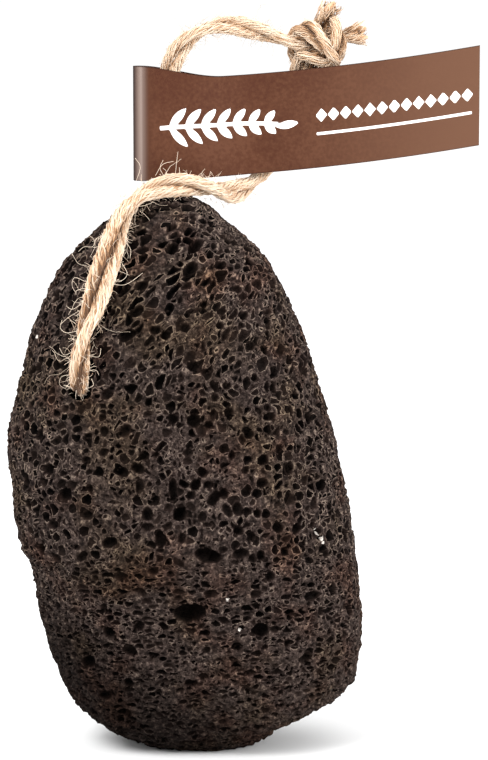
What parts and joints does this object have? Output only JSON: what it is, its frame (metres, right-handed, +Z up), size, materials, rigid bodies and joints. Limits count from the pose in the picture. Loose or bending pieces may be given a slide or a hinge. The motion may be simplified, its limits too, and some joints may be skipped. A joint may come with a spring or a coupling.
{
  "type": "pumice stone",
  "caption": "Dark bubbly volcanic pumice stone, egg-shaped and standing, with a knotted jute twine loop through a drilled hole and a folded brown paper tag on the twine.",
  "frame": {"origin": "under the middle of the stone, on the surface it stands on", "axes": "+Z up along the stone's length, -Y towards the front where the twine enters the hole, +X towards the tag's free end"},
  "size_m": [0.0774, 0.0445, 0.1229],
  "materials": {
    "pumice": "raw vesicular rock, charcoal brown with rust and ochre patches, matt",
    "jute": "two-ply natural jute, straw coloured, hairy, matt",
    "tag_paper": "smooth uncoated card stock, chestnut brown, slight sheen on the fold"
  },
  "bodies": {
    "root": {"stone": "pumice", "jute_twine": "jute", "twine_knot": "jute", "paper_tag": "tag_paper"}
  },
  "joints": []
}
